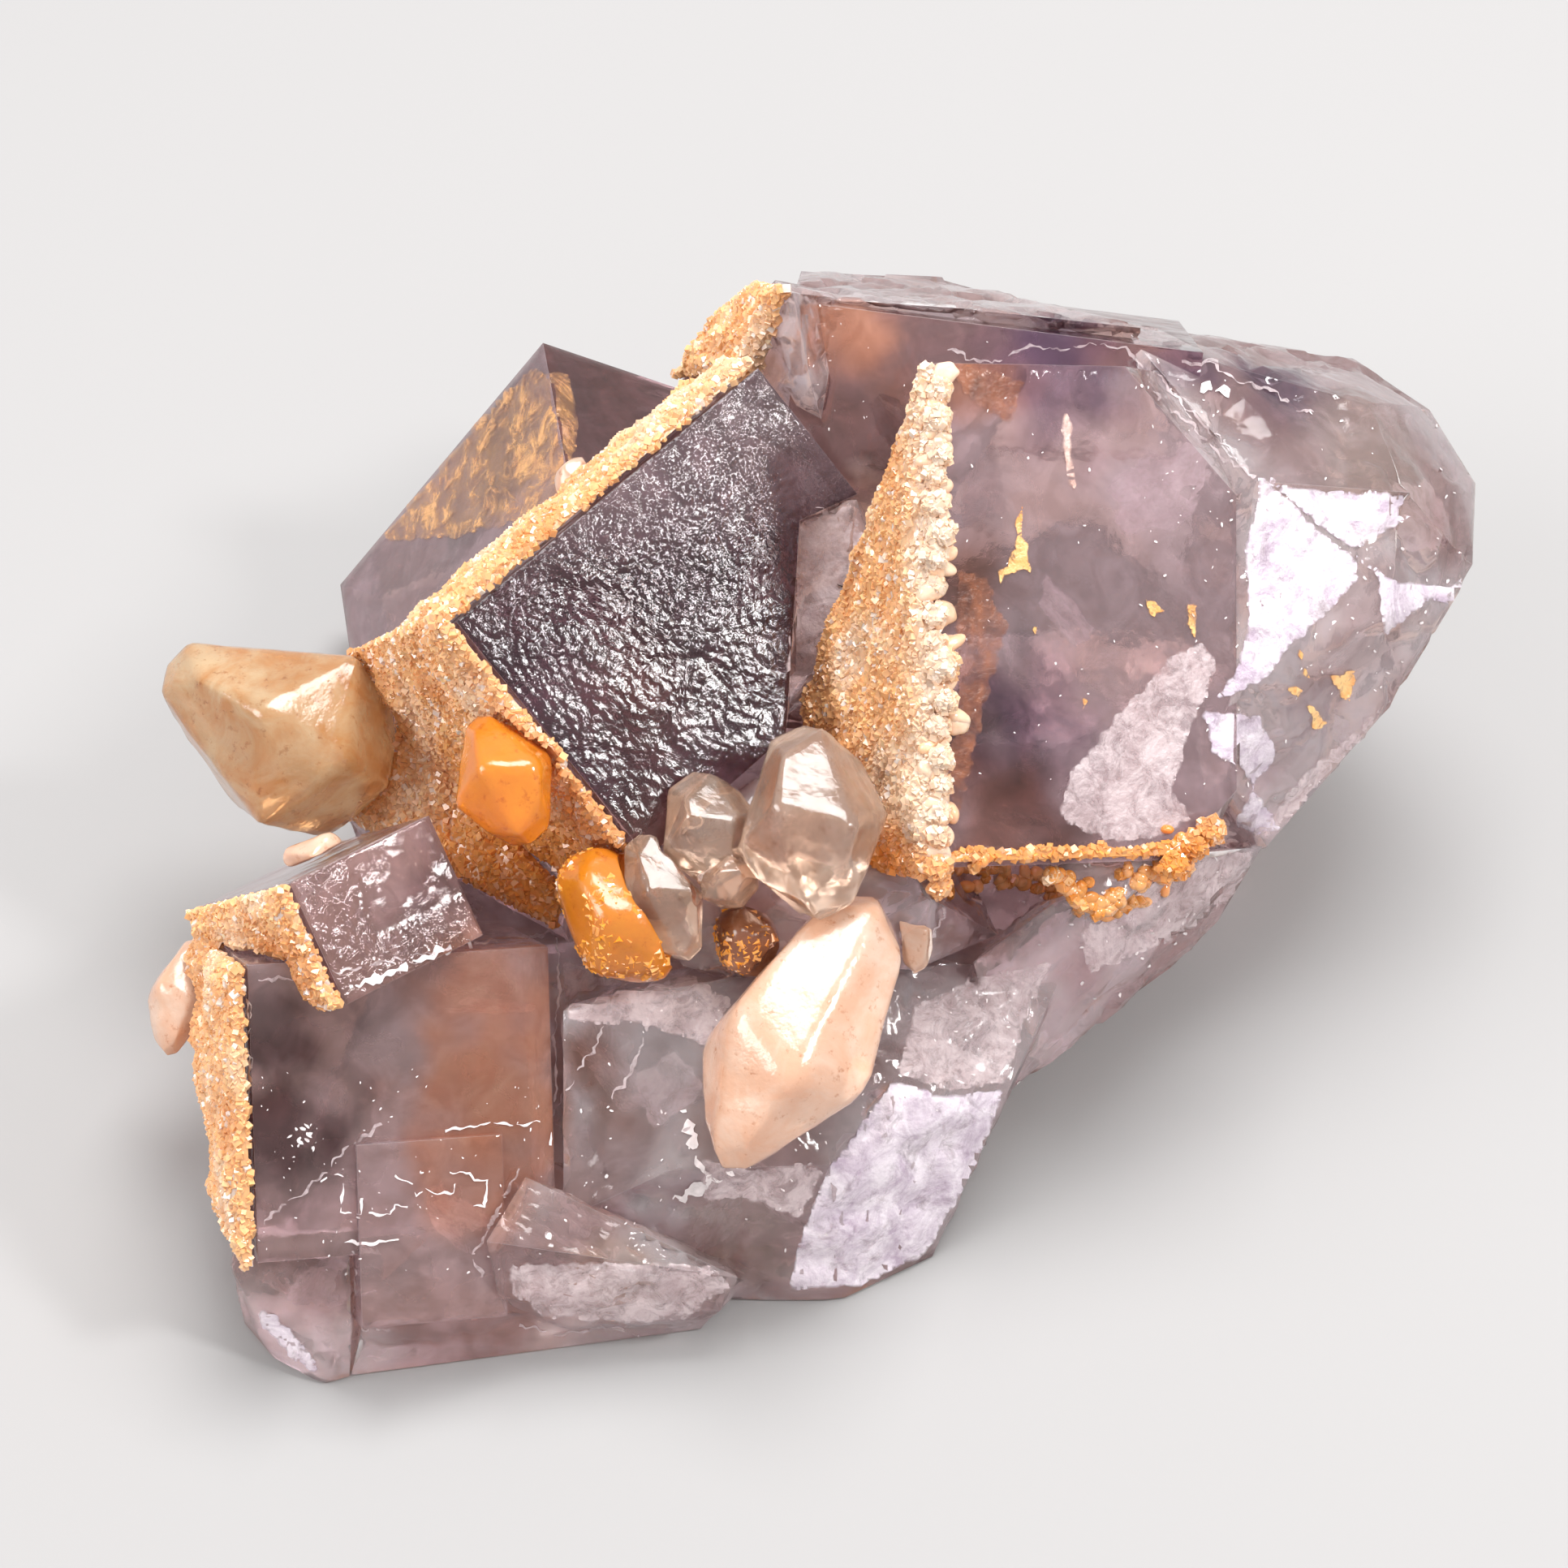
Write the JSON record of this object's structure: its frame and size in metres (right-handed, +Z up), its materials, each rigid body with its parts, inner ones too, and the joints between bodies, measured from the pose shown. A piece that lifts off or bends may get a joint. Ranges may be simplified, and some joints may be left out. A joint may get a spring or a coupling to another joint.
{
  "type": "fluorite cluster",
  "caption": "Hand specimen of intergrown clear lavender fluorite cubes with sparkling peach druse on their left faces and blunt calcite crystals in the gaps, broken flat underneath.",
  "frame": {"origin": "on the flat broken base, under the middle of the cluster", "axes": "+X along the long side, +Z up from the base, the open side with the crystal faces looks towards -Y"},
  "size_m": [0.076, 0.0623, 0.0424],
  "materials": {
    "fluorite": "clear crystal, glossy faces",
    "druse": "sparkling fine-grained crust",
    "calcite_cream": "waxy translucent crystal",
    "calcite_clear": "clear crystal",
    "calcite_orange": "iron-stained translucent crystal"
  },
  "bodies": {
    "root": {"fluorite": "fluorite", "druse_dark_cube": "druse", "druse_right_cube": "druse", "druse_back_corner": "druse", "druse_front_cubes": "druse", "calcite_front": "calcite_cream", "calcite_middle_large": "calcite_clear", "calcite_middle_small": "calcite_clear", "calcite_middle_flat": "calcite_clear", "calcite_brown": "calcite_orange", "calcite_pale": "calcite_clear", "calcite_orange_upper": "calcite_orange", "calcite_orange_lower": "calcite_orange", "calcite_disc": "calcite_cream", "calcite_far_left": "calcite_cream", "calcite_left_large": "calcite_cream", "calcite_back_tip": "calcite_cream", "calcite_sliver": "calcite_cream"}
  },
  "joints": []
}
